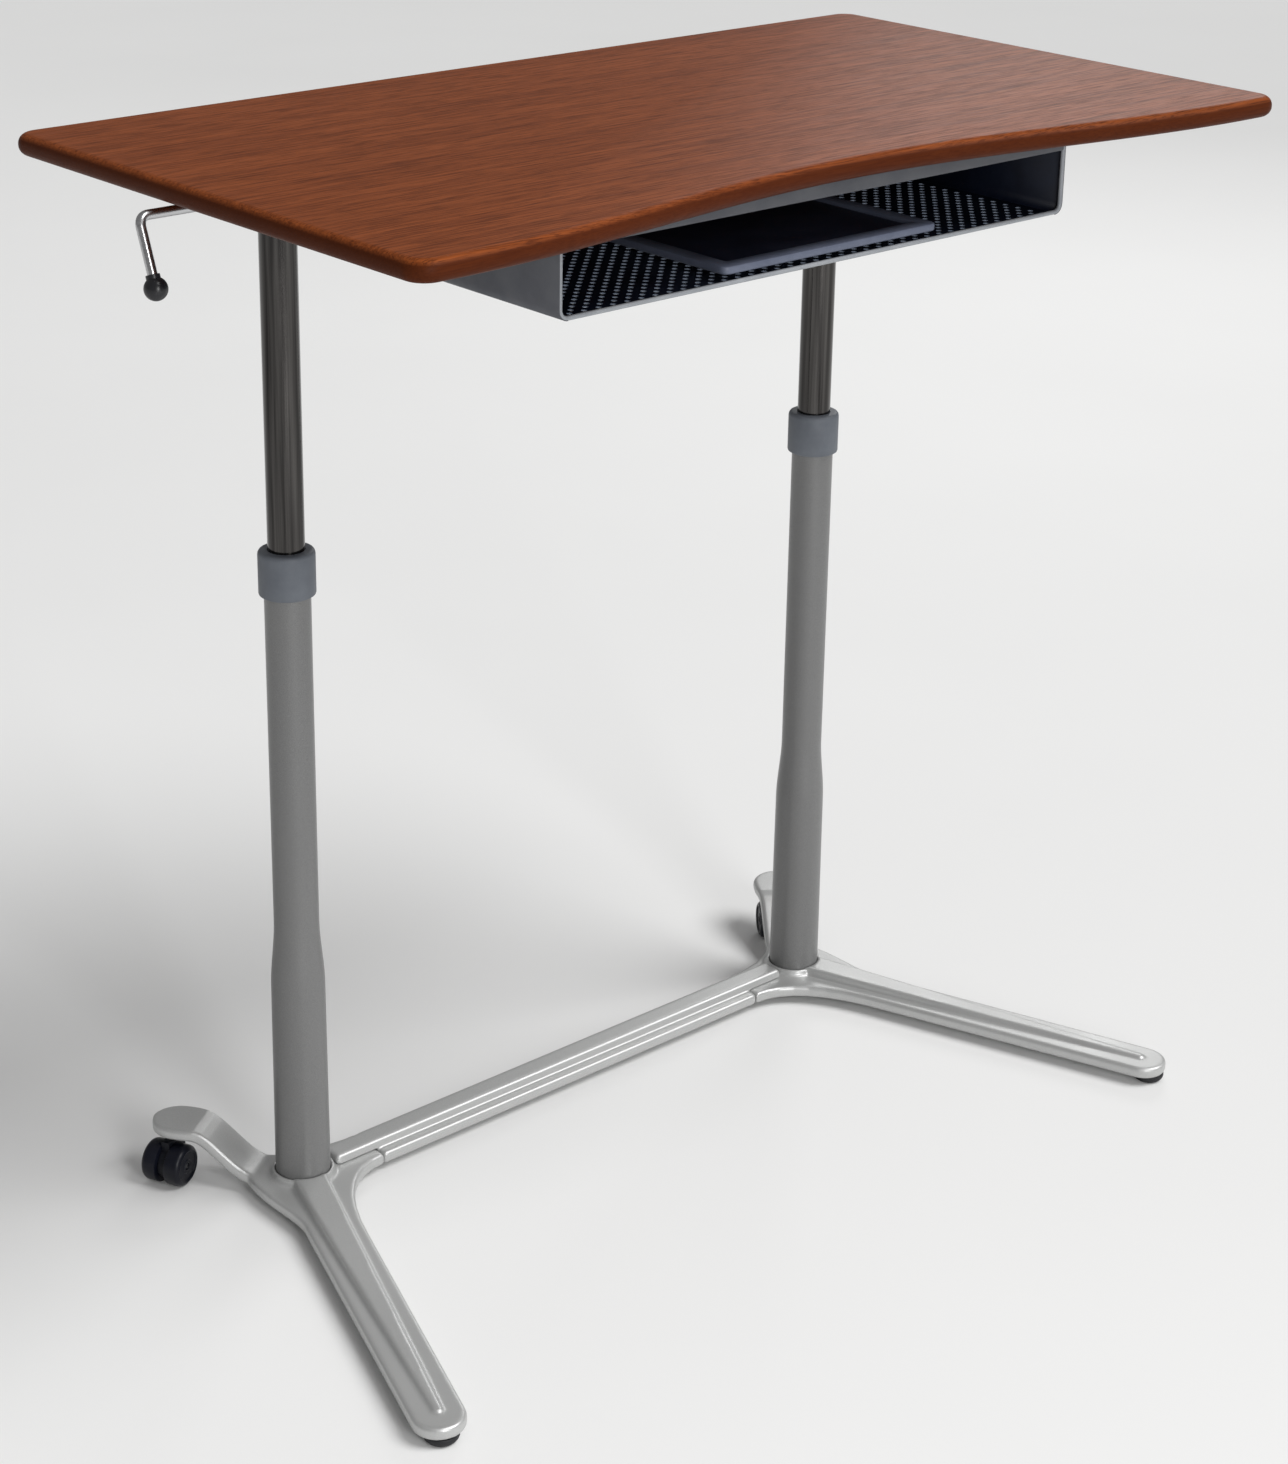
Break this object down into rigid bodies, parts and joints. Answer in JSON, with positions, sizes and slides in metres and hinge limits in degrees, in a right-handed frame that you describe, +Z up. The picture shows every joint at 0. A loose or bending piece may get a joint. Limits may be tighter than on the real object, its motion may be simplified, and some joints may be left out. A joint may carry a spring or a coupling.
{
  "type": "height-adjustable desk",
  "caption": "Free-standing sit-stand desk: scooped wood-grain top with an under-top storage shelf on telescopic columns, raised and lowered by a side crank.",
  "frame": {"origin": "centre of the bounding box on the floor; the desk's own centre plane is 11.5 mm to +X of it, because the crank reaches past the top's left edge", "axes": "+Z up, +X to the user's right along the desk's width, +Y away from the user"},
  "size_m": [0.9729, 0.536, 0.977],
  "materials": {
    "laminate": "satin cherry wood-grain laminate with a rounded edge",
    "shelf_paint": "grey powder coat",
    "tray_paint": "dark slate plastic with a satin rim",
    "crank_chrome": "polished bent rod",
    "knob_plastic": "black ball knob",
    "steel": "zinc plated",
    "brass": "machined",
    "chrome": "polished chrome plate",
    "column_paint": "fine metallic silver-grey paint",
    "cast_paint": "cast aluminium in metallic silver paint",
    "housing_cast": "painted casting",
    "collar_plastic": "grey moulded plastic",
    "glide_rubber": "black rubber",
    "caster_plastic": "black nylon",
    "caster_tread": "black nylon wheel"
  },
  "bodies": {
    "base": {"stretcher": "cast_paint", "left_outer_tube": "column_paint", "left_collar": "collar_plastic", "left_nut_post": "steel", "left_lift_nut": "brass", "left_leg_casting": "cast_paint", "left_column_bolt": "steel", "left_stretcher_bolt_1": "steel", "left_stretcher_bolt_2": "steel", "right_outer_tube": "column_paint", "right_collar": "collar_plastic", "right_nut_post": "steel", "right_lift_nut": "brass", "right_leg_casting": "cast_paint", "right_column_bolt": "steel", "right_stretcher_bolt_1": "steel", "right_stretcher_bolt_2": "steel"},
    "lift_top": {"tabletop": "laminate", "storage_shelf": "shelf_paint", "shelf_screw_1": "steel", "shelf_screw_2": "steel", "shelf_screw_3": "steel", "shelf_screw_4": "steel", "left_lift_housing": "housing_cast", "left_shaft_bearing": "collar_plastic", "left_inner_tube": "chrome", "left_housing_screw_1": "steel", "left_housing_screw_2": "steel", "left_housing_screw_3": "steel", "left_housing_screw_4": "steel", "right_lift_housing": "housing_cast", "right_shaft_bearing": "collar_plastic", "right_inner_tube": "chrome", "right_housing_screw_1": "steel", "right_housing_screw_2": "steel", "right_housing_screw_3": "steel", "right_housing_screw_4": "steel"},
    "shelf_tray": {"shelf_tray": "tray_paint"},
    "crank": {"crank_rod": "crank_chrome"},
    "crank_knob": {"crank_knob": "knob_plastic"},
    "cross_shaft": {"cross_shaft": "steel"},
    "left_lead_screw": {"left_lead_screw": "steel"},
    "left_glide": {"left_glide": "glide_rubber"},
    "left_caster": {"left_caster_body": "caster_plastic", "left_caster_axle": "steel"},
    "left_caster_wheel_a": {"left_caster_wheel_a": "caster_tread"},
    "left_caster_wheel_b": {"left_caster_wheel_b": "caster_tread"},
    "right_lead_screw": {"right_lead_screw": "steel"},
    "right_glide": {"right_glide": "glide_rubber"},
    "right_caster": {"right_caster_body": "caster_plastic", "right_caster_axle": "steel"},
    "right_caster_wheel_a": {"right_caster_wheel_a": "caster_tread"},
    "right_caster_wheel_b": {"right_caster_wheel_b": "caster_tread"}
  },
  "joints": [
    {"name": "height_lift", "type": "slide", "parent": "base", "child": "lift_top", "axis": [0, 0, 1], "range_m": [-0.24, 0.058]},
    {"name": "tray_slide", "type": "slide", "parent": "lift_top", "child": "shelf_tray", "axis": [0, -1, 0], "range_m": [0, 0.07]},
    {"name": "crank_turn", "type": "hinge", "parent": "lift_top", "child": "crank", "pos_m": [-0.477, 0.0578, 0.9496], "axis": [1, 0, 0], "continuous": true},
    {"name": "knob_spin", "type": "hinge", "parent": "crank", "child": "crank_knob", "pos_m": [-0.477, 0.0378, 0.8978], "axis": [0, -0.3602, -0.9329], "continuous": true},
    {"name": "cross_shaft_turn", "type": "hinge", "parent": "lift_top", "child": "cross_shaft", "pos_m": [0.0115, 0.131, 0.928], "axis": [1, 0, 0], "continuous": true},
    {"name": "left_screw_turn", "type": "hinge", "parent": "lift_top", "child": "left_lead_screw", "pos_m": [-0.3009, 0.131, 0.7], "axis": [0, 0, 1], "continuous": true},
    {"name": "right_screw_turn", "type": "hinge", "parent": "lift_top", "child": "right_lead_screw", "pos_m": [0.3239, 0.131, 0.7], "axis": [0, 0, 1], "continuous": true},
    {"name": "left_glide_level", "type": "slide", "parent": "base", "child": "left_glide", "axis": [0, 0, -1], "range_m": [0, 0.008]},
    {"name": "left_caster_swivel", "type": "hinge", "parent": "base", "child": "left_caster", "pos_m": [-0.3699, 0.231, 0.045], "axis": [0, 0, 1], "continuous": true},
    {"name": "left_caster_roll_a", "type": "hinge", "parent": "left_caster", "child": "left_caster_wheel_a", "pos_m": [-0.38428, 0.22399, 0.0195], "axis": [0.4384, -0.8988, 0], "continuous": true},
    {"name": "left_caster_roll_b", "type": "hinge", "parent": "left_caster", "child": "left_caster_wheel_b", "pos_m": [-0.38428, 0.22399, 0.0195], "axis": [0.4384, -0.8988, 0], "continuous": true},
    {"name": "right_glide_level", "type": "slide", "parent": "base", "child": "right_glide", "axis": [0, 0, -1], "range_m": [0, 0.008]},
    {"name": "right_caster_swivel", "type": "hinge", "parent": "base", "child": "right_caster", "pos_m": [0.3929, 0.231, 0.045], "axis": [0, 0, 1], "continuous": true},
    {"name": "right_caster_roll_a", "type": "hinge", "parent": "right_caster", "child": "right_caster_wheel_a", "pos_m": [0.38395, 0.21774, 0.0195], "axis": [0.829, -0.5592, 0], "continuous": true},
    {"name": "right_caster_roll_b", "type": "hinge", "parent": "right_caster", "child": "right_caster_wheel_b", "pos_m": [0.38395, 0.21774, 0.0195], "axis": [0.829, -0.5592, 0], "continuous": true}
  ],
  "couplings": [
    {"joint": "crank_turn", "follows": "height_lift", "rad_per_m": 785.4},
    {"joint": "cross_shaft_turn", "follows": "height_lift", "rad_per_m": 785.4},
    {"joint": "left_screw_turn", "follows": "height_lift", "rad_per_m": -785.4},
    {"joint": "right_screw_turn", "follows": "height_lift", "rad_per_m": 785.4}
  ]
}
